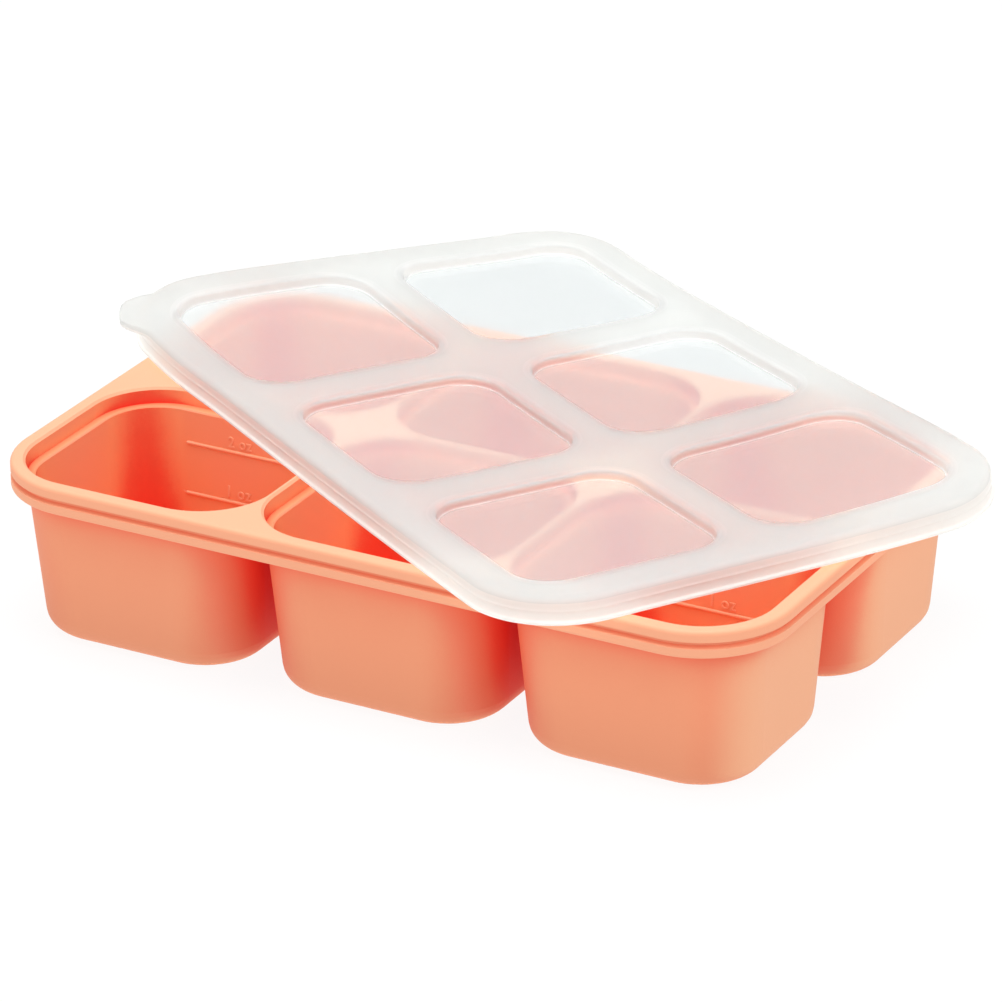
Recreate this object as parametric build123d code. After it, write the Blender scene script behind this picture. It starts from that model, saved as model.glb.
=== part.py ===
from build123d import *
import math
import os

# Six-cup silicone freezer tray for baby food, with its soft snap-on lid.
# Frame: millimetres, +Z up, +X along the long side of the tray.
# The origin is the middle of the tray on the surface that its cups stand on.
# The lid is laid askew on top of the rim, turned about Z.

# ---------------------------------------------------------------- dimensions
TRAY_L = 182.0            # rim length, over the beads
TRAY_W = 116.6            # rim width, over the beads
TRAY_H = 39.0             # base of the cups to the top of the rim
RIM_R = 20.0              # plan radius of the rim corners
RIM_H = 6.1               # height of the solid rim
RIM_TOP_R = 1.0           # rounding of the outer top edge
RIM_LOW_R = 0.7           # rounding of the outer bottom edge
GROOVE_TOP = 36.55        # groove that the lid snaps into
GROOVE_BOT = 35.05
GROOVE_D = 1.0

PITCH_X = 58.7            # cup centres, three along X
PITCH_Y = 55.8            # cup centres, two along Y

CUP_A0, CUP_B0, CUP_R0 = 25.8, 24.0, 14.2     # outside, half size and corner radius at z = 0
CUP_A1, CUP_B1, CUP_R1 = 27.95, 26.15, 13.8   # outside, under the rim
CUP_FILLET = 4.6          # outside rounding round the base
WALL = 1.9                # wall of a cup
FLOOR = 1.8               # floor of a cup
IN_FILLET = 4.2           # inside rounding round the floor

MOUTH_A, MOUTH_B, MOUTH_R = 28.65, 27.0, 15.6     # mouth at the top face, half size and radius
BAND_A, BAND_B, BAND_R = 28.3, 26.65, 15.25       # the same band just above the ledge
LEDGE_Z = 35.5            # shoulder inside each cup, below the band
MOUTH_EDGE_R = 0.5        # softened edge of each mouth
LEDGE_EDGE_R = 0.3        # softened inner edge of the shoulder

MARK_1OZ_Z = 16.45        # height of the 30 ml (1 oz) line
MARK_2OZ_Z = 28.0         # height of the 59 ml (2 oz) line
MARK_LEN = 27.2
MARK_R = 0.45             # the lines are half-round ribs
MARK_PROUD = 0.33
MARK_X0 = -13.6           # left end of the lines from the cup's centre

LID_L = 187.0             # over the bottom lip
LID_W = 121.6
LID_R = 21.0
LID_H = 5.6
LID_SKIRT_IN = 91.3       # inner face of the skirt, half length
LID_TOP_T = 1.1           # thickness of the frame between the panels
LID_EDGE_R = 1.4          # rounding from the top face into the skirt
SKIRT_IN_LOW = 0.5        # the drafted skirt stands this far inside the lip at its foot
SKIRT_IN_TOP = 0.95       # and this far at the top
LID_LIP_H = 0.8           # height of the lip at the bottom edge
LID_BEAD = 0.15           # line round the middle of the skirt stands out this much
LID_BEAD_Z = 2.9
PANEL_A, PANEL_B, PANEL_R = 23.3, 23.2, 8.9       # recess in the top, half size and radius
PANEL_DEPTH = 2.15
PANEL_T = 0.6
PANEL_WALL = 1.1
TAB_REACH = 3.6           # pull tab past the round of the corner
TAB_ROOT = 2.3            # its ends sink this far behind the round
TAB_ANG = 240.8           # direction of its middle, degrees from +X of the lid
TAB_FLAT, TAB_END = 8.0, 33.0     # half angle of its full reach, and to where it fades into the corner
TAB_Z = 4.0               # underside of the tab, whose top is level with the lid's
TAB_T = 1.6
SNAP = 0.55               # snap bead inside the skirt
SNAP_Z = 0.8              # its height above the lid's lower edge

LID_YAW = -31.83          # how the lid lies on the tray
LID_X, LID_Y = 4.46, 21.3
LID_GAP = 0.02            # lid's lower edge above the rim

os.makedirs("parts", exist_ok=True)


# ------------------------------------------------------------------- helpers
def rrect(a, b, r, z, cx=0.0, cy=0.0):
    """Face of a rounded rectangle of half size a by b, at height z."""
    with BuildSketch(Plane.XY.offset(z)) as s:
        with Locations((cx, cy)):
            RectangleRounded(2 * a, 2 * b, r)
    return s.sketch


def frustum(lo, hi, cx=0.0, cy=0.0):
    """Drafted rounded box between two sections (a, b, r, z)."""
    return loft([rrect(*lo, cx=cx, cy=cy), rrect(*hi, cx=cx, cy=cy)], ruled=True)


def slab(a, b, r, z0, z1, cx=0.0, cy=0.0):
    return extrude(rrect(a, b, r, z0, cx, cy), z1 - z0)


def edges_at(shape, z, tol=1e-3):
    return [e for e in shape.edges() if abs(e.bounding_box().min.Z - z) < tol and abs(e.bounding_box().max.Z - z) < tol]


def largest(shape):
    return max(shape.solids(), key=lambda s: s.volume)


# ---------------------------------------------------------------------- tray
L2, W2 = TRAY_L / 2, TRAY_W / 2
Z_RIM = TRAY_H - RIM_H
centres = [(i * PITCH_X, j * PITCH_Y / 2) for j in (-1, 1) for i in (-1, 0, 1)]


def cup_outside(cx, cy):
    """A cup's outer body, up into the rim."""
    k = (Z_RIM + 0.6) / Z_RIM
    top = (CUP_A0 + (CUP_A1 - CUP_A0) * k, CUP_B0 + (CUP_B1 - CUP_B0) * k, CUP_R0 + (CUP_R1 - CUP_R0) * k, Z_RIM + 0.6)
    body = frustum((CUP_A0, CUP_B0, CUP_R0, 0.0), top, cx, cy)
    return fillet(edges_at(body, 0.0), CUP_FILLET)


def cup_inside(cx, cy):
    """A cup's inside, from its floor to above the mouth."""
    def at(z):
        k = z / Z_RIM
        return (CUP_A0 + (CUP_A1 - CUP_A0) * k - WALL, CUP_B0 + (CUP_B1 - CUP_B0) * k - WALL, CUP_R0 + (CUP_R1 - CUP_R0) * k - WALL, z)
    low = frustum(at(FLOOR), at(LEDGE_Z), cx, cy)
    low = fillet(edges_at(low, FLOOR), IN_FILLET)
    flare = frustum(at(LEDGE_Z - LEDGE_EDGE_R), tuple(v + LEDGE_EDGE_R * 0.8 for v in at(LEDGE_Z)[:3]) + (LEDGE_Z,), cx, cy)
    band = frustum((BAND_A, BAND_B, BAND_R, LEDGE_Z), (MOUTH_A, MOUTH_B, MOUTH_R, TRAY_H), cx, cy)
    lip = frustum((MOUTH_A, MOUTH_B, MOUTH_R, TRAY_H - MOUTH_EDGE_R),
                  (MOUTH_A + MOUTH_EDGE_R, MOUTH_B + MOUTH_EDGE_R, MOUTH_R + MOUTH_EDGE_R, TRAY_H), cx, cy)
    return low, flare, band, lip


rim = slab(L2, W2, RIM_R, Z_RIM, TRAY_H)
rim = fillet(edges_at(rim, TRAY_H), RIM_TOP_R)
rim = fillet(edges_at(rim, Z_RIM), RIM_LOW_R)

# snap groove between the two beads, with sloping flanks
gz = (GROOVE_TOP - GROOVE_BOT) / 2
ring_out = slab(L2 + 3, W2 + 3, RIM_R + 3, GROOVE_BOT, GROOVE_TOP)
g_lo = frustum((L2, W2, RIM_R, GROOVE_BOT), (L2 - GROOVE_D, W2 - GROOVE_D, RIM_R - GROOVE_D, GROOVE_BOT + gz * 0.7))
g_mid = slab(L2 - GROOVE_D, W2 - GROOVE_D, RIM_R - GROOVE_D, GROOVE_BOT + gz * 0.7, GROOVE_TOP - gz * 0.7)
g_hi = frustum((L2 - GROOVE_D, W2 - GROOVE_D, RIM_R - GROOVE_D, GROOVE_TOP - gz * 0.7), (L2, W2, RIM_R, GROOVE_TOP))
rim = rim - (ring_out - (g_lo + g_mid + g_hi))

tray = rim + [cup_outside(*c) for c in centres]
tray = tray - [piece for c in centres for piece in cup_inside(*c)]


# fill lines, raised on the far long wall inside each cup
def wall_y(z):
    return CUP_B0 + (CUP_B1 - CUP_B0) * z / Z_RIM - WALL


tilt = math.atan2(CUP_B1 - CUP_B0, Z_RIM)
into_cup = Vector(0, -math.cos(tilt), math.sin(tilt))


def marks(cx, cy):
    out = []
    for z in (MARK_1OZ_Z, MARK_2OZ_Z):
        left = Vector(cx + MARK_X0 + MARK_R, cy + wall_y(z), z) + into_cup * (MARK_PROUD - MARK_R)
        run = MARK_LEN - 2 * MARK_R
        rib = Plane(origin=left, z_dir=(1, 0, 0)) * Cylinder(MARK_R, run, align=(Align.CENTER, Align.CENTER, Align.MIN))
        out.append(rib + Pos(left) * Sphere(MARK_R) + Pos(left + Vector(run, 0, 0)) * Sphere(MARK_R))
    return out


tray = tray + [m for c in centres for m in marks(*c)]

tray = largest(tray)
tray.label = "tray"

# ----------------------------------------------------------------------- lid
A2, B2 = LID_L / 2, LID_W / 2
SKIRT_INB = LID_SKIRT_IN - (L2 - W2)


def skirt(z, out=0.0):
    """Section of the drafted skirt at height z, moved outward by out."""
    d = SKIRT_IN_LOW + (SKIRT_IN_TOP - SKIRT_IN_LOW) * z / LID_H - out
    return (A2 - d, B2 - d, LID_R - d, z)


body = frustum(skirt(0.0), skirt(LID_H))
body = fillet(edges_at(body, LID_H), LID_EDGE_R)
# bottom lip
lip = slab(A2, B2, LID_R, 0.0, LID_LIP_H)
lip = fillet(edges_at(lip, LID_LIP_H) + edges_at(lip, 0.0), 0.3)
body = body + lip
# line round the middle of the skirt
b_lo = frustum(skirt(LID_BEAD_Z - 0.45, -0.2), skirt(LID_BEAD_Z, LID_BEAD))
b_hi = frustum(skirt(LID_BEAD_Z, LID_BEAD), skirt(LID_BEAD_Z + 0.45, -0.2))
body = body + b_lo + b_hi

# pull tab at one corner, a low wide bulge of the corner's round
corner = (-(A2 - LID_R), -(B2 - LID_R))


def tab_radius(deg):
    k = (abs(deg - TAB_ANG) - TAB_FLAT) / (TAB_END - TAB_FLAT)
    k = min(max(k, 0.0), 1.0)
    return LID_R - TAB_ROOT + (TAB_REACH + TAB_ROOT) * (1.0 - k * k * (3.0 - 2.0 * k))


def tab_point(deg, r):
    return (corner[0] + r * math.cos(math.radians(deg)), corner[1] + r * math.sin(math.radians(deg)))


first, last, steps = TAB_ANG - TAB_END, TAB_ANG + TAB_END, 24
edge_pts = [tab_point(first + (last - first) * i / steps, tab_radius(first + (last - first) * i / steps)) for i in range(steps + 1)]
r_in = LID_R - TAB_ROOT - 0.7
with BuildSketch(Plane.XY.offset(TAB_Z)) as ts:
    with BuildLine():
        Spline(*edge_pts)
        Line(edge_pts[-1], tab_point(last, r_in))
        ThreePointArc(tab_point(last, r_in), tab_point(TAB_ANG, r_in), tab_point(first, r_in))
        Line(tab_point(first, r_in), edge_pts[0])
    make_face()
tab = extrude(ts.sketch, TAB_T)
outer_rim = [e for z in (TAB_Z, TAB_Z + TAB_T) for e in edges_at(tab, z) if e.geom_type == GeomType.BSPLINE]
tab = fillet(outer_rim, 0.5)
body = body + tab

# underside: hollow inside the skirt, with the snap bead
inner = (LID_SKIRT_IN, SKIRT_INB, LID_R - (A2 - LID_SKIRT_IN))
hollow = slab(*inner, -1.0, LID_H - LID_TOP_T)


def inn(d):
    return (inner[0] - d, inner[1] - d, inner[2] - d)


snap_ring = slab(*inn(-0.2), SNAP_Z - 0.6, SNAP_Z + 0.6)
s_lo = frustum(inn(0.0) + (SNAP_Z - 0.6,), inn(SNAP) + (SNAP_Z - 0.15,))
s_mid = slab(*inn(SNAP), SNAP_Z - 0.15, SNAP_Z + 0.15)
s_hi = frustum(inn(SNAP) + (SNAP_Z + 0.15,), inn(0.0) + (SNAP_Z + 0.6,))
snap = snap_ring - (s_lo + s_mid + s_hi)
hollow = hollow - snap

body = body - hollow

# six recessed panels: a shallow tray in the top, with its own thin floor
for cx, cy in centres:
    under = frustum((PANEL_A + PANEL_WALL - 0.5, PANEL_B + PANEL_WALL - 0.5, PANEL_R + PANEL_WALL - 0.5, LID_H - PANEL_DEPTH - PANEL_T),
                    (PANEL_A + PANEL_WALL, PANEL_B + PANEL_WALL, PANEL_R + PANEL_WALL, LID_H - LID_TOP_T + 0.4), cx, cy)
    under = fillet(edges_at(under, LID_H - PANEL_DEPTH - PANEL_T), 0.6)
    body = body + under
for cx, cy in centres:
    recess = frustum((PANEL_A - 0.5, PANEL_B - 0.5, PANEL_R - 0.5, LID_H - PANEL_DEPTH),
                     (PANEL_A, PANEL_B, PANEL_R, LID_H), cx, cy)
    recess = fillet(edges_at(recess, LID_H - PANEL_DEPTH), 0.6)
    flare = frustum((PANEL_A, PANEL_B, PANEL_R, LID_H - 0.5), (PANEL_A + 0.5, PANEL_B + 0.5, PANEL_R + 0.5, LID_H), cx, cy)
    body = body - recess - flare

lid_flat = largest(body)
lid = lid_flat.moved(Location((LID_X, LID_Y, TRAY_H + LID_GAP), (0, 0, LID_YAW)))
lid.label = "lid"

export_step(tray, "parts/tray.step")
export_step(lid, "parts/lid.step")

print("tray", round(tray.volume), tray.bounding_box().size)
print("lid", round(lid.volume), lid.bounding_box().size)
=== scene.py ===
import math

import bmesh
import bpy
from mathutils import Matrix, Vector
from mathutils.geometry import delaunay_2d_cdt


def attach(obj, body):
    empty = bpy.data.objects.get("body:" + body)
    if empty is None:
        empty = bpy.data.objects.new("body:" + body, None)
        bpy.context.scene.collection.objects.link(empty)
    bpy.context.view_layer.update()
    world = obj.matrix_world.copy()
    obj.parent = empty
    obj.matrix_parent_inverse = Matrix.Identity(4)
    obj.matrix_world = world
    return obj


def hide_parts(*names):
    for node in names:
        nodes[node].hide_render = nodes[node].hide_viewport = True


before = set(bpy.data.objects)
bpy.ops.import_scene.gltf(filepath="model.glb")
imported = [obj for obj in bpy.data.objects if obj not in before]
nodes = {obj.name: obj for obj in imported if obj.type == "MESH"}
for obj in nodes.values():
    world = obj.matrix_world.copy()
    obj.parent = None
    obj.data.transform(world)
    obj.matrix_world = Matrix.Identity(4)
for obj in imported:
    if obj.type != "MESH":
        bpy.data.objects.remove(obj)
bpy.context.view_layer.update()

MM = 0.001

# ------------------------------------------------------------------ materials


def lin(rgb):
    """sRGB 0-255 to linear."""
    out = []
    for v in rgb:
        v = v / 255.0
        out.append(v / 12.92 if v <= 0.04045 else ((v + 0.055) / 1.055) ** 2.4)
    return tuple(out)


class Tree:
    def __init__(self, name):
        self.mat = bpy.data.materials.new(name)
        self.mat.use_nodes = True
        self.nt = self.mat.node_tree
        self.bsdf = next(n for n in self.nt.nodes if n.type == "BSDF_PRINCIPLED")

    def node(self, kind, **props):
        n = self.nt.nodes.new(kind)
        for k, v in props.items():
            setattr(n, k, v)
        return n

    def link(self, a, b):
        self.nt.links.new(a, b)


def silicone(name, colour, dark, rough, bump, scale, transmission=0.0, alpha=1.0, spec=0.5, ior=1.41, shade_steps=None, reach=0.045, lit_top=None, corner=0.0, side=None, floor_shade=1.0, border=None, glow=0.0):
    """Matt moulded silicone: fine grain, slow cloudy change of tone and of roughness; with shade steps, painted
    shade and painted light that follow occlusion, facing and height.
    """
    t = Tree(name)
    co = t.node("ShaderNodeTexCoord")
    cloud = t.node("ShaderNodeTexNoise")
    cloud.inputs["Scale"].default_value = 38.0
    cloud.inputs["Detail"].default_value = 4.0
    cloud.inputs["Roughness"].default_value = 0.55
    t.link(co.outputs["Object"], cloud.inputs["Vector"])
    grain = t.node("ShaderNodeTexNoise")
    grain.inputs["Scale"].default_value = scale
    grain.inputs["Detail"].default_value = 3.0
    grain.inputs["Roughness"].default_value = 0.6
    t.link(co.outputs["Object"], grain.inputs["Vector"])
    if shade_steps is None:
        ramp = t.node("ShaderNodeValToRGB")
        ramp.color_ramp.elements[0].position = 0.3
        ramp.color_ramp.elements[0].color = (*dark, 1.0)
        ramp.color_ramp.elements[1].position = 0.7
        ramp.color_ramp.elements[1].color = (*colour, 1.0)
        t.link(cloud.outputs["Fac"], ramp.inputs["Fac"])
        tone = ramp.outputs["Color"]
        if border is not None:
            # painted light: the bars between the panels are painted a little paler than the border, to brighten them
            bar = t.node("ShaderNodeAttribute", attribute_name="border")
            lighter = t.node("ShaderNodeMapRange")
            lighter.inputs["To Min"].default_value = 1.04
            lighter.inputs["To Max"].default_value = 0.97
            t.link(bar.outputs["Fac"], lighter.inputs["Value"])
            bright = t.node("ShaderNodeVectorMath", operation="SCALE")
            t.link(tone, bright.inputs[0])
            t.link(lighter.outputs["Result"], bright.inputs["Scale"])
            tone = bright.outputs["Vector"]
        t.link(tone, t.bsdf.inputs["Base Color"])
    else:
        # painted shade: the base colour follows ambient occlusion, so open faces are painted milky
        # and the places that little light reaches are painted deeper red, for shade and for light that has passed
        # through the silicone
        ao = t.node("ShaderNodeAmbientOcclusion", samples=16, only_local=True)
        ao.inputs["Distance"].default_value = reach
        shift = t.node("ShaderNodeMapRange")
        shift.inputs["From Min"].default_value = 0.3
        shift.inputs["From Max"].default_value = 0.7
        shift.inputs["To Min"].default_value = -0.02
        shift.inputs["To Max"].default_value = 0.02
        t.link(cloud.outputs["Fac"], shift.inputs["Value"])
        add = t.node("ShaderNodeMath", operation="ADD")
        t.link(ao.outputs["AO"], add.inputs[0])
        t.link(shift.outputs["Result"], add.inputs[1])
        geo = t.node("ShaderNodeNewGeometry")
        xyz = t.node("ShaderNodeSeparateXYZ")
        t.link(geo.outputs["Normal"], xyz.inputs["Vector"])
        if corner:
            # painted shade: the upright rounds between two walls are painted the deepest red, as shade that gathers
            # in the corners
            nxy = t.node("ShaderNodeMath", operation="MULTIPLY")
            t.link(xyz.outputs["X"], nxy.inputs[0])
            t.link(xyz.outputs["Y"], nxy.inputs[1])
            size = t.node("ShaderNodeMath", operation="ABSOLUTE")
            t.link(nxy.outputs[0], size.inputs[0])
            less = t.node("ShaderNodeMath", operation="MULTIPLY_ADD")
            t.link(size.outputs[0], less.inputs[0])
            less.inputs[1].default_value = -2.0 * corner
            t.link(add.outputs[0], less.inputs[2])
            add = less
        ramp = t.node("ShaderNodeValToRGB")
        ramp.color_ramp.interpolation = "EASE"
        while len(ramp.color_ramp.elements) < len(shade_steps):
            ramp.color_ramp.elements.new(0.5)
        for e, (p, c) in zip(ramp.color_ramp.elements, shade_steps):
            e.position = p
            e.color = (*c, 1.0)
        t.link(add.outputs[0], ramp.inputs["Fac"])
        tone = ramp.outputs["Color"]
        if floor_shade < 1.0:
            # painted shade: a little darker toward the base, where the floor shades the walls
            low = t.node("ShaderNodeSeparateXYZ")
            t.link(co.outputs["Object"], low.inputs["Vector"])
            fade = t.node("ShaderNodeMapRange", interpolation_type="SMOOTHSTEP")
            fade.inputs["From Min"].default_value = 0.0
            fade.inputs["From Max"].default_value = 0.022
            fade.inputs["To Min"].default_value = floor_shade
            fade.inputs["To Max"].default_value = 1.0
            t.link(low.outputs["Z"], fade.inputs["Value"])
            deep = t.node("ShaderNodeVectorMath", operation="SCALE")
            t.link(tone, deep.inputs[0])
            t.link(fade.outputs["Result"], deep.inputs["Scale"])
            tone = deep.outputs["Vector"]
        if side is not None:
            # painted light: open faces that look along +X, toward the key lamp, are painted paler
            end = t.node("ShaderNodeMapRange", interpolation_type="SMOOTHSTEP")
            end.inputs["From Min"].default_value = 0.45
            end.inputs["From Max"].default_value = 1.0
            t.link(xyz.outputs["X"], end.inputs["Value"])
            free = t.node("ShaderNodeMapRange", interpolation_type="SMOOTHSTEP")
            free.inputs["From Min"].default_value = 0.75
            free.inputs["From Max"].default_value = 0.97
            t.link(add.outputs[0], free.inputs["Value"])
            side_light_mask = t.node("ShaderNodeMath", operation="MULTIPLY")
            t.link(end.outputs["Result"], side_light_mask.inputs[0])
            t.link(free.outputs["Result"], side_light_mask.inputs[1])
            mix = t.node("ShaderNodeMix", data_type="RGBA")
            t.link(side_light_mask.outputs[0], mix.inputs["Factor"])
            t.link(tone, mix.inputs["A"])
            mix.inputs["B"].default_value = (*side, 1.0)
            tone = mix.outputs["Result"]
        if lit_top is None:
            t.link(tone, t.bsdf.inputs["Base Color"])
        else:
            # painted light: open faces that look up are painted paler, as if lit from above
            up = t.node("ShaderNodeMapRange", interpolation_type="SMOOTHSTEP")
            up.inputs["From Min"].default_value = 0.35
            up.inputs["From Max"].default_value = 1.0
            t.link(xyz.outputs["Z"], up.inputs["Value"])
            clear = t.node("ShaderNodeMapRange", interpolation_type="SMOOTHSTEP")
            clear.inputs["From Min"].default_value = 0.62
            clear.inputs["From Max"].default_value = 0.95
            t.link(add.outputs[0], clear.inputs["Value"])
            top_light_mask = t.node("ShaderNodeMath", operation="MULTIPLY")
            t.link(up.outputs["Result"], top_light_mask.inputs[0])
            t.link(clear.outputs["Result"], top_light_mask.inputs[1])
            mix = t.node("ShaderNodeMix", data_type="RGBA")
            t.link(top_light_mask.outputs[0], mix.inputs["Factor"])
            t.link(tone, mix.inputs["A"])
            mix.inputs["B"].default_value = (*lit_top, 1.0)
            t.link(mix.outputs["Result"], t.bsdf.inputs["Base Color"])
    r = t.node("ShaderNodeMapRange")
    r.inputs["From Min"].default_value = 0.3
    r.inputs["From Max"].default_value = 0.7
    r.inputs["To Min"].default_value = rough - 0.04
    r.inputs["To Max"].default_value = rough + 0.04
    t.link(grain.outputs["Fac"], r.inputs["Value"])
    t.link(r.outputs["Result"], t.bsdf.inputs["Roughness"])
    b = t.node("ShaderNodeBump")
    b.inputs["Strength"].default_value = bump
    b.inputs["Distance"].default_value = 0.0001
    t.link(grain.outputs["Fac"], b.inputs["Height"])
    t.link(b.outputs["Normal"], t.bsdf.inputs["Normal"])
    t.bsdf.inputs["Specular IOR Level"].default_value = spec
    t.bsdf.inputs["IOR"].default_value = ior
    if border is None:
        t.bsdf.inputs["Transmission Weight"].default_value = transmission
    else:
        # the border of the lid is thicker and lets less through than its bars
        at = t.node("ShaderNodeAttribute", attribute_name="border")
        thick = t.node("ShaderNodeMapRange")
        thick.inputs["To Min"].default_value = transmission
        thick.inputs["To Max"].default_value = border
        t.link(at.outputs["Fac"], thick.inputs["Value"])
        t.link(thick.outputs["Result"], t.bsdf.inputs["Transmission Weight"])
    t.bsdf.inputs["Alpha"].default_value = alpha
    if glow:
        # painted glow: a faint emission stands in for light scattered sideways through the lid that leaves at its
        # edge
        t.bsdf.inputs["Emission Color"].default_value = (1.0, 1.0, 0.88, 1.0)
        t.bsdf.inputs["Emission Strength"].default_value = glow
    return t.mat


# painted light and shade: the first tone is painted top light, the three ramps are painted shade, colour steps over
# ambient occlusion
TOP_LIGHT_TONE = (0.97, 0.50, 0.305)
OUTER = [(0.0, (1.0, 0.012, 0.010)), (0.3, (0.95, 0.075, 0.038)), (0.58, (0.92, 0.176, 0.087)), (0.80, (0.925, 0.235, 0.127)), (0.92, (0.93, 0.32, 0.172)), (1.0, (0.95, 0.36, 0.195))]
INNER = [(0.0, (0.86, 0.034, 0.017)), (0.2, (0.87, 0.051, 0.025)), (0.32, (0.86, 0.073, 0.036)), (0.44, (0.87, 0.105, 0.05)), (0.56, (0.947, 0.262, 0.12)), (0.75, (0.965, 0.36, 0.172)), (1.0, (0.95, 0.35, 0.19))]
RIM = [(0.0, (0.94, 0.24, 0.135)), (0.45, (0.95, 0.32, 0.18)), (0.8, (0.96, 0.40, 0.225)), (1.0, (0.97, 0.43, 0.25))]
# the outside, the inside of the cups and the rim are copies of one orange silicone that differ in painted shade and
# painted light
orange = silicone("orange_silicone", None, None, 0.6, 0.25, 2600.0, spec=0.35, shade_steps=OUTER, reach=0.055, lit_top=TOP_LIGHT_TONE, side=(0.93, 0.455, 0.262), floor_shade=0.88, corner=0.07)
orange_in = silicone("orange_silicone_cups", None, None, 0.6, 0.25, 2600.0, spec=0.35, shade_steps=INNER, reach=0.025, lit_top=(0.93, 0.44, 0.26), corner=0.43)
orange_rim = silicone("orange_silicone_rim", None, None, 0.6, 0.25, 2600.0, spec=0.35, shade_steps=RIM, reach=0.004, lit_top=TOP_LIGHT_TONE)
frost = silicone("frosted_frame", (0.765, 0.778, 0.765), (0.755, 0.768, 0.755), 0.6, 0.08, 2600.0, transmission=0.615, spec=0.3, border=0.47)
panel = silicone("frosted_panel", (0.853, 0.884, 0.884), (0.843, 0.874, 0.874), 0.17, 0.0, 2600.0, transmission=0.745, spec=0.25)
wall = silicone("frosted_wall", (0.872, 0.872, 0.858), (0.862, 0.862, 0.848), 0.4, 0.0, 2600.0, transmission=0.72, spec=0.25)
grade1 = silicone("frosted_edge_1", (0.79, 0.80, 0.79), (0.78, 0.79, 0.78), 0.5, 0.03, 2600.0, transmission=0.645, spec=0.3, border=0.53)
grade2 = silicone("frosted_edge_2", (0.82, 0.83, 0.822), (0.81, 0.82, 0.812), 0.42, 0.0, 2600.0, transmission=0.685, spec=0.3, border=0.60)
# painted light: the skirt's base is paler than the frame's and it has a faint glow, to light its upright faces
skirt_m = silicone("frosted_skirt", (0.86, 0.848, 0.824), (0.85, 0.838, 0.814), 0.5, 0.03, 2600.0, transmission=0.48, spec=0.3, glow=0.03)


def put(ob, mat):
    ob.data.materials.clear()
    ob.data.materials.append(mat)


tray = nodes["tray"]
put(tray, orange)
tray.data.materials.append(orange_in)
tray.data.materials.append(orange_rim)


def rr_dist(x, y, a, b, r):
    """Distance to a rounded rectangle's outline, negative inside it."""
    qx, qy = abs(x) - (a - r), abs(y) - (b - r)
    return math.hypot(max(qx, 0.0), max(qy, 0.0)) + min(max(qx, qy), 0.0) - r


for poly in tray.data.polygons:
    poly.use_smooth = True
    x, y, z = (c * 1000 for c in poly.center)
    # 0 outside of the cups, 1 their inside, 2 rim, top face and fill lines
    cx = 58.7 * max(-1, min(1, round(x / 58.7)))
    cy = 27.9 if y > 0 else -27.9
    k = z / 32.9
    if z < 35.3:
        hit = z > 1.2 and rr_dist(x - cx, y - cy, 24.85 + 2.15 * k, 23.05 + 2.15 * k, 13.25 - 0.4 * k) < 0
    else:
        hit = z < 38.45 and rr_dist(x - cx, y - cy, 28.95, 27.3, 15.85) < 0
    wy = cy + 24.0 + 2.15 * k - 1.9
    line = min(abs(z - 16.45), abs(z - 28.0)) < 0.52 and wy - 0.5 < y < wy - 0.03 and abs(x - cx) < 13.9
    if line:
        poly.material_index = 2
    elif hit:
        poly.material_index = 1
    elif z > 32.6:
        poly.material_index = 2
    else:
        poly.material_index = 0

# ------------------------------------------------------------------------ lid
# Millimetres in the lid's own frame: middle of the lid, lower edge at z = 0.
A2, B2, R2 = 93.5, 60.8, 21.0            # over the bottom lip
PITCH_X, PITCH_Y = 58.7, 55.8
PA, PB, PR = 23.5, 23.3, 9.1            # recess at the top face
Z_TOP, Z_UNDER, Z_PAN, Z_PAN_U = 5.6, 4.5, 3.45, 2.85
CENTRES = [(i * PITCH_X, j * PITCH_Y / 2) for j in (-1, 1) for i in (-1, 0, 1)]
TAB_ANG, TAB_FLAT, TAB_END, TAB_REACH = 240.8, 8.0, 29.0, 4.4


def ring(a, b, r, na, nb, nc, cx=0.0, cy=0.0):
    """Points round a rounded rectangle: na, nb spans on its straight sides, nc on each corner."""
    pts = []
    for q, (sx, sy) in enumerate(((1, 1), (-1, 1), (-1, -1), (1, -1))):
        ox, oy = sx * (a - r), sy * (b - r)
        for k in range(nc + 1):
            t = math.radians(90 * q + 90 * k / nc)
            pts.append((cx + ox + r * math.cos(t), cy + oy + r * math.sin(t)))
        # straight side that follows this corner
        p = pts[-1]
        n = na if q in (0, 2) else nb
        q2 = (q + 1) % 4
        sx2, sy2 = ((1, 1), (-1, 1), (-1, -1), (1, -1))[q2]
        t = math.radians(90 * q2)
        e = (cx + sx2 * (a - r) + r * math.cos(t), cy + sy2 * (b - r) + r * math.sin(t))
        for k in range(1, n):
            pts.append((p[0] + (e[0] - p[0]) * k / n, p[1] + (e[1] - p[1]) * k / n))
    return pts


def inside(p, poly):
    x, y = p
    hit = False
    j = len(poly) - 1
    for i in range(len(poly)):
        xi, yi = poly[i]
        xj, yj = poly[j]
        if (yi > y) != (yj > y) and x < (xj - xi) * (y - yi) / (yj - yi) + xi:
            hit = not hit
        j = i
    return hit


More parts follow.
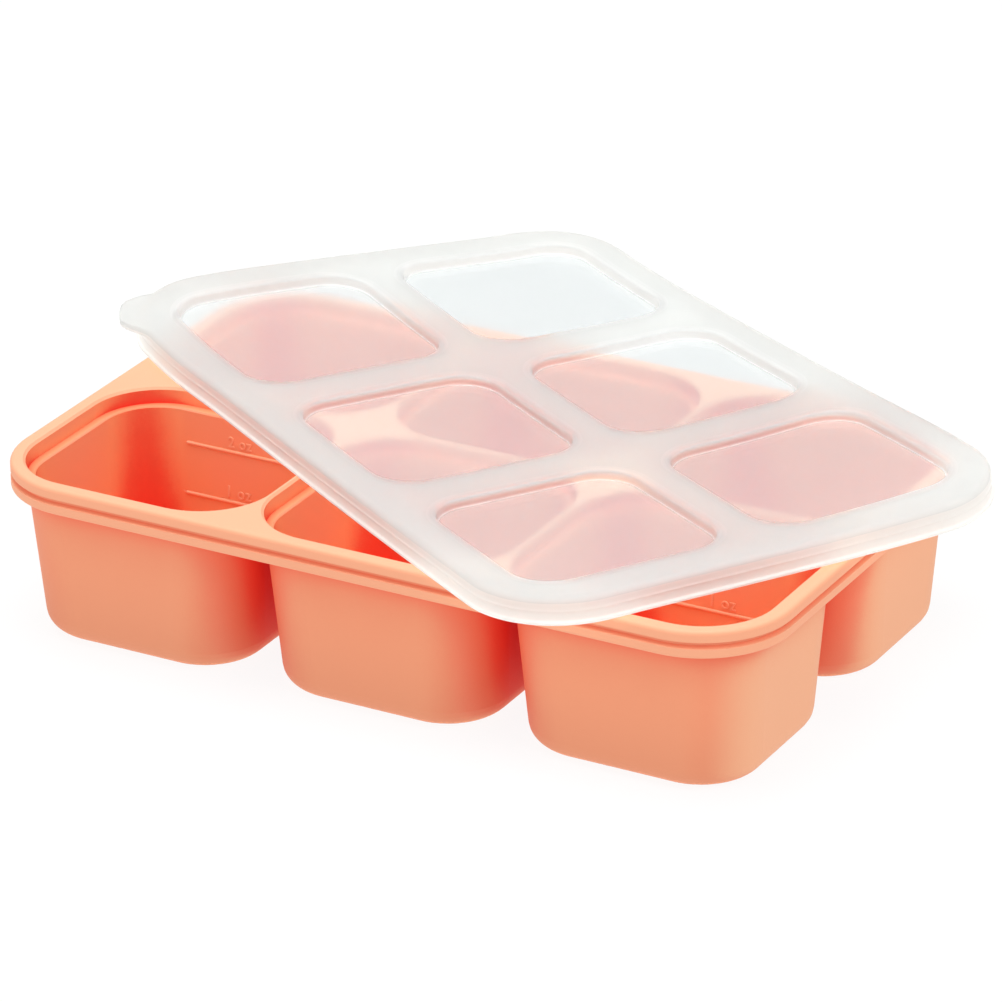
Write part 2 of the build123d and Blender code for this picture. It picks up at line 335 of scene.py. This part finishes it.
class Mesh:
    def __init__(self):
        self.v, self.f, self.m = [], [], []

    def add_ring(self, pts, z):
        base = len(self.v)
        self.v += [(p[0], p[1], z[i] if isinstance(z, list) else z) for i, p in enumerate(pts)]
        return base, len(pts)

    def strip(self, r0, r1, mat, flip=False):
        n = r0[1]
        for i in range(n):
            j = (i + 1) % n
            q = (r0[0] + i, r0[0] + j, r1[0] + j, r1[0] + i)
            self.f.append(q[::-1] if flip else q)
            self.m.append(mat)

    def fill(self, outer, holes, z, mat, step, up):
        """Flat field between closed outlines, with inner points so that it can bend."""
        pts, edges = [], []
        for poly in [outer] + holes:
            base = len(pts)
            pts += [Vector(p) for p in poly]
            edges += [(base + i, base + (i + 1) % len(poly)) for i in range(len(poly))]
        xs = [p[0] for p in outer]
        ys = [p[1] for p in outer]
        boxes = [(min(p[0] for p in h) - 1.2, max(p[0] for p in h) + 1.2, min(p[1] for p in h) - 1.2, max(p[1] for p in h) + 1.2) for h in holes]
        nx, ny = int((max(xs) - min(xs)) / step), int((max(ys) - min(ys)) / step)
        for i in range(1, nx):
            for j in range(1, ny):
                x = min(xs) + (max(xs) - min(xs)) * (i + 0.5 * (j % 2)) / nx
                y = min(ys) + (max(ys) - min(ys)) * j / ny
                if any(bx[0] < x < bx[1] and bx[2] < y < bx[3] for bx in boxes):
                    continue
                near = min((x - p[0]) ** 2 + (y - p[1]) ** 2 for p in outer)
                if near > (0.6 * step) ** 2 and inside((x, y), outer):
                    pts.append(Vector((x, y)))
        v, _, f, _, _, _ = delaunay_2d_cdt(pts, edges, [], 0, 1e-7)
        base = len(self.v)
        self.v += [(p.x, p.y, z) for p in v]
        for t in f:
            c = (sum(v[i].x for i in t) / len(t), sum(v[i].y for i in t) / len(t))
            if not inside(c, outer) or any(inside(c, h) for h in holes):
                continue
            area = sum(v[t[k]].x * v[t[(k + 1) % len(t)]].y - v[t[(k + 1) % len(t)]].x * v[t[k]].y for k in range(len(t)))
            idx = [base + i for i in t]
            if (area > 0) != up:
                idx = idx[::-1]
            self.f.append(tuple(idx))
            self.m.append(mat)


def tab_out(p):
    """How far the pull tab stands out at this point of the lid's edge."""
    ang = math.degrees(math.atan2(p[1] + B2 - R2, p[0] + A2 - R2)) % 360
    k = min(max((abs(ang - TAB_ANG) - TAB_FLAT) / (TAB_END - TAB_FLAT), 0.0), 1.0)
    return TAB_REACH * (1.0 - k * k * (3.0 - 2.0 * k))


FRAME, PANEL, WALL, G1, G2, SKIRT = range(6)
m = Mesh()


def outer_ring(d, z, tab=0.0, z_tab=None):
    """Ring of the skirt, d inside the lip's outline; tab is its share of the tab's reach, z_tab its height there."""
    pts = ring(A2 - d, B2 - d, R2 - d, 46, 26, 24)
    zs = [z] * len(pts)
    if z_tab is not None:
        moved = []
        for i, p in enumerate(pts):
            o = tab_out(p)
            w = min(o / (0.35 * TAB_REACH), 1.0)
            zs[i] = z + (z_tab - z) * w * w * (3.0 - 2.0 * w)
            cx = max(abs(p[0]) - (A2 - R2), 0.0) * (1 if p[0] > 0 else -1)
            cy = max(abs(p[1]) - (B2 - R2), 0.0) * (1 if p[1] > 0 else -1)
            n = math.hypot(cx, cy) or 1.0
            moved.append((p[0] + cx / n * o * tab, p[1] + cy / n * o * tab))
        pts = moved
    return m.add_ring(pts, zs)


# skirt, from the edge of the top face, round the lip and up its inside
ARC = [(2.634 - 1.8 * math.sin(math.radians(t)), 4.3 + 1.3 * math.cos(math.radians(t))) for t in (1, 8, 16, 24, 32, 40, 48, 58, 68, 80)]
SHARES = (0.05, 0.25, 0.55, 0.85, 1.04, 1.097, 1.101, 1.07, 1.037, 1.014)
LIFTS = (5.6, 5.6, 5.6, 5.6, 5.6, 5.57, 5.48, 5.3, 5.0, 4.6)
skirt = [(3.1, 5.6)] + [(d, z, w, h) for (d, z), w, h in zip(ARC, SHARES, LIFTS)]
skirt += [(0.834, 4.3, 1.008, 4.35), (0.82, 4.15, 0.993, 4.15), (0.81, 4.05, 0.934, 4.04), (0.805, 3.98, 0.82, 4.0), (0.80, 3.92, 0.3, 4.0), (0.797, 3.86, 0.04, 4.0), (0.79, 3.75), (0.77, 3.55)]
skirt += [(0.755, 3.38), (0.72, 3.22), (0.65, 3.06), (0.61, 2.95), (0.605, 2.88), (0.625, 2.78), (0.68, 2.62), (0.70, 2.45)]
skirt += [(0.68, 2.0), (0.63, 1.5), (0.59, 1.12), (0.555, 0.98), (0.46, 0.87), (0.3, 0.8), (0.12, 0.72), (0.03, 0.6), (0.0, 0.45),
          (0.03, 0.27), (0.12, 0.11), (0.26, 0.03), (0.45, 0.0), (1.5, 0.0), (1.9, 0.03), (2.15, 0.2), (2.45, 0.45),
          (2.72, 0.65), (2.76, 0.8), (2.72, 0.95), (2.45, 1.15), (2.25, 1.35), (2.2, 1.6), (2.2, 2.8), (2.2, 4.0),
          (2.26, 4.25), (2.42, 4.42), (2.7, 4.5), (3.1, 4.5)]
rings = [outer_ring(*s) for s in skirt]
for r0, r1, s0, s1 in zip(rings, rings[1:], skirt, skirt[1:]):
    if s0[0] > 2.1 and s0[1] < 5.0:
        mat = G1 if s0[1] > 4.0 else SKIRT
    else:
        mat = FRAME if s0[1] > 4.75 else SKIRT
    m.strip(r0, r1, mat, flip=True)


def panel_ring(o, z, c):
    return m.add_ring(ring(PA + o, PB + o, PR + o, 14, 14, 12, *c), z)


# recess in the top face of each panel, and its underside
top_prof = [(2.1, 5.6), (1.7, 5.6), (1.35, 5.6), (1.0, 5.595), (0.75, 5.57)]
top_prof += [(0.55 - 0.6 * math.sin(math.radians(t)), 4.96 + 0.6 * math.cos(math.radians(t))) for t in (10, 25, 40, 55, 70, 83)]
top_mats = [G1, G1, G1, G2, G2, G2, G2, G2, WALL, WALL]
top_prof += [(-0.08, 4.6), (-0.16, 4.2)]
top_mats += [WALL, WALL]
top_prof += [(-0.16 - 0.5 + 0.5 * math.cos(math.radians(t)), Z_PAN + 0.5 - 0.5 * math.sin(math.radians(t))) for t in (10, 25, 40, 55, 70, 85)]
top_mats += [WALL, WALL, WALL, G2, G2, PANEL]
top_prof += [(-1.1, Z_PAN)]
top_mats += [PANEL]
low_prof = [(2.3, 4.5), (1.7, 4.5), (1.4, 4.46), (1.15, 4.34), (1.0, 4.15), (0.95, 3.9), (0.9, 3.5), (0.82, 3.2), (0.68, 3.0), (0.45, 2.89), (0.15, 2.85), (-0.5, 2.85)]
low_mats = [G1, G2, WALL, WALL, WALL, WALL, WALL, WALL, G2, PANEL, PANEL]
for c in CENTRES:
    rr = [panel_ring(o, z, c) for o, z in top_prof]
    for k, (r0, r1) in enumerate(zip(rr, rr[1:])):
        m.strip(r0, r1, top_mats[k])
    rr = [panel_ring(o, z, c) for o, z in low_prof]
    for k, (r0, r1) in enumerate(zip(rr, rr[1:])):
        m.strip(r0, r1, low_mats[k], flip=True)
    m.fill(ring(PA - 1.1, PB - 1.1, PR - 1.1, 14, 14, 12, *c), [], Z_PAN, PANEL, 3.2, True)
    m.fill(ring(PA - 0.5, PB - 0.5, PR - 0.5, 14, 14, 12, *c), [], Z_PAN_U, PANEL, 3.2, False)
m.fill(ring(A2 - 3.1, B2 - 3.1, R2 - 3.1, 46, 26, 24), [ring(PA + 2.1, PB + 2.1, PR + 2.1, 14, 14, 12, *c) for c in CENTRES], Z_TOP, FRAME, 3.0, True)
m.fill(ring(A2 - 3.1, B2 - 3.1, R2 - 3.1, 46, 26, 24), [ring(PA + 2.3, PB + 2.3, PR + 2.3, 14, 14, 12, *c) for c in CENTRES], Z_UNDER, FRAME, 3.0, False)

# how the soft lid hangs over the rim, and where it lies
YAW, LX, LY, LZ = math.radians(-31.800), 4.232, 21.417, 37.088
FLEX = dict(tx=0.6940, ty=-1.7007, k=3.0416, bx=3.2905, by=1.1916, kx=-0.2042, ky=1.9013, bxx=-0.9744, u3=-0.1770, k3=-1.5170, v3=0.9234, kyy=-2.3882)


def sag(x, y):
    u, v = x / A2, y / B2
    F = FLEX
    w = F["tx"] * u + F["ty"] * v + F["k"] * u * v + F["bx"] * u * u + F["by"] * v * v + F["kx"] * u * u * v + F["ky"] * u * v * v
    w += F["bxx"] * u ** 4 + F["u3"] * u ** 3 + F["k3"] * u ** 3 * v + F["v3"] * v ** 3 + F["kyy"] * u * u * v * v
    # short lifts: left corner, back corner, far right side
    w += 3.765 * math.exp(-((u + 1.0) / 0.30) ** 2 - ((v + 1.055) / 0.723) ** 2)
    w += 1.817 * math.exp(-((u + 1.0) / 0.25) ** 2 - ((v - 1.0) / 0.25) ** 2)
    w += 0.85 * math.exp(-((u - 0.74) / 0.28) ** 2 - ((v - 1.0) / 0.40) ** 2)
    w -= 0.950 * math.exp(-((u + 1.0) / 0.30) ** 2 - ((v + 1.0) / 0.25) ** 2)
    w -= 0.850 * math.exp(-((u + 0.66) / 0.17) ** 2 - ((v + 1.0) / 0.22) ** 2)
    return w


def laid(p):
    x, y, z = p
    z = LZ + z + sag(x, y)
    c, s = math.cos(YAW), math.sin(YAW)
    return (MM * (c * x - s * y + LX), MM * (s * x + c * y + LY), MM * z)


me = bpy.data.meshes.new("lid_soft")
me.from_pydata([laid(p) for p in m.v], [], m.f)
for mat in (frost, panel, wall, grade1, grade2, skirt_m):
    me.materials.append(mat)
me.polygons.foreach_set("material_index", m.m)
me.polygons.foreach_set("use_smooth", [True] * len(m.f))
# 1 in the outer half of the border, 0 in the bars between the panels
edge = me.attributes.new("border", "FLOAT", "POINT")
share = []
for x, y, z in m.v:
    k = min(max((9.5 + rr_dist(x, y, A2, B2, R2)) / 5.0, 0.0), 1.0)
    share.append(k * k * (3.0 - 2.0 * k))
edge.data.foreach_set("value", share)
bm = bmesh.new()
bm.from_mesh(me)
bmesh.ops.remove_doubles(bm, verts=bm.verts, dist=2e-6)
open_edges = [e for e in bm.edges if len(e.link_faces) != 2]
print("lid mesh", len(bm.verts), "vertices", len(bm.faces), "faces, open edges", len(open_edges))
bm.to_mesh(me)
bm.free()
lid = bpy.data.objects.new("lid_soft", me)
bpy.context.scene.collection.objects.link(lid)
lid.visible_shadow = False
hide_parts("lid")
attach(lid, "lid")

# --------------------------------------------------------------- line figures
# "1 oz" and "2 oz" raised beside the fill lines on the far wall of each cup
bm = bmesh.new()
CUP_TILT = math.atan2(2.15, 32.9)
for text, z in (("1 oz", 16.45), ("2 oz", 28.0)):
    cu = bpy.data.curves.new("figures", "FONT")
    cu.body = text
    cu.size = 3.15
    cu.extrude = 0.15
    cu.resolution_u = 4
    cu.bevel_depth = 0.05
    cu.space_character = 1.08
    ob = bpy.data.objects.new("figures", cu)
    bpy.context.scene.collection.objects.link(ob)
    bpy.context.view_layer.update()
    tm = bpy.data.meshes.new_from_object(ob.evaluated_get(bpy.context.evaluated_depsgraph_get()))
    x0 = min(v.co.x for v in tm.vertices)
    x1 = max(v.co.x for v in tm.vertices)
    y0 = min(v.co.y for v in tm.vertices)
    k = 6.3 / (x1 - x0)
    for cx, cy in CENTRES:
        base = len(bm.verts)
        t2 = tm.copy()
        zb = z + 1.0
        yw = cy + 24.0 + 2.15 * zb / 32.9 - 1.9
        # x along the wall, y up it, z out of it into the cup
        M = Matrix(((1, 0, 0, cx - 2.9), (0, math.sin(CUP_TILT), -math.cos(CUP_TILT), yw), (0, math.cos(CUP_TILT), math.sin(CUP_TILT), zb), (0, 0, 0, 1)))
        for v in t2.vertices:
            q = M @ Vector(((v.co.x - x0) * k * 0.93, (v.co.y - y0) * k, v.co.z * 1.0))
            v.co = q * MM
        bm.from_mesh(t2)
        bpy.data.meshes.remove(t2)
    bpy.data.objects.remove(ob)
fig_me = bpy.data.meshes.new("line_figures")
bm.to_mesh(fig_me)
bm.free()
fig = bpy.data.objects.new("line_figures", fig_me)
bpy.context.scene.collection.objects.link(fig)
put(fig, orange_rim)
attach(fig, "tray")

# ---------------------------------------------------------------------- stage
bpy.ops.mesh.primitive_plane_add(size=6.0, location=(0, 0, -0.0002))
floor = bpy.context.object
floor.name = "floor"
fm = Tree("floor_white")
fm.bsdf.inputs["Base Color"].default_value = (0.1, 0.1, 0.1, 1)
fm.bsdf.inputs["Emission Color"].default_value = (1, 1, 1, 1)
fm.bsdf.inputs["Emission Strength"].default_value = 0.9
fm.bsdf.inputs["Roughness"].default_value = 0.9
fm.bsdf.inputs["Specular IOR Level"].default_value = 0.1
put(floor, fm.mat)

world = bpy.data.worlds.new("studio")
bpy.context.scene.world = world
world.use_nodes = True
bg = next(n for n in world.node_tree.nodes if n.type == "BACKGROUND")
bg.inputs["Color"].default_value = (1, 1, 1, 1)
bg.inputs["Strength"].default_value = 0.56


def lamp(name, loc, size, power, target=(0, 0, 0.02)):
    d = bpy.data.lights.new(name, "AREA")
    d.shape = "DISK"
    d.size = size
    d.energy = power
    ob = bpy.data.objects.new(name, d)
    ob.location = loc
    ob.rotation_mode = "QUATERNION"
    ob.rotation_quaternion = (Vector(target) - Vector(loc)).to_track_quat("-Z", "Y")
    bpy.context.scene.collection.objects.link(ob)
    return ob


lamp("key_right", (1.0, -0.25, 1.0), 0.9, 4.6)
lamp("top", (-0.12, -0.12, 1.6), 1.0, 13.8)
lamp("fill_front", (-0.7, -1.3, 0.7), 1.0, 2.8)

# --------------------------------------------------------------------- camera
F_PX = 6072.924
AZ, EL, ROLL = math.radians(29.2323), math.radians(24.6479), math.radians(-0.65072)
DIST, OX, OY = 1291.164 * MM, -2.91938 * MM, -8.63214 * MM
T = Vector((0, 0, 18.2 * MM))
back = Vector((math.sin(AZ) * math.cos(EL), -math.cos(AZ) * math.cos(EL), math.sin(EL)))
right = Vector((math.cos(AZ), math.sin(AZ), 0))
up = back.cross(right)
c, s = math.cos(ROLL), math.sin(ROLL)
r2 = c * right + s * up
u2 = -s * right + c * up
M = Matrix((r2, u2, back))
loc = T + M.transposed() @ Vector((-OX, -OY, DIST))
cam_d = bpy.data.cameras.new("camera")
cam_d.sensor_width = 36.0
cam_d.lens = F_PX / 1002.0 * 36.0
cam_d.clip_start, cam_d.clip_end = 0.05, 20.0
cam = bpy.data.objects.new("camera", cam_d)
cam.matrix_world = Matrix.Translation(loc) @ M.transposed().to_4x4()
bpy.context.scene.collection.objects.link(cam)
bpy.context.scene.camera = cam

sc = bpy.context.scene
sc.view_settings.view_transform = "Standard"
sc.view_settings.look = "None"
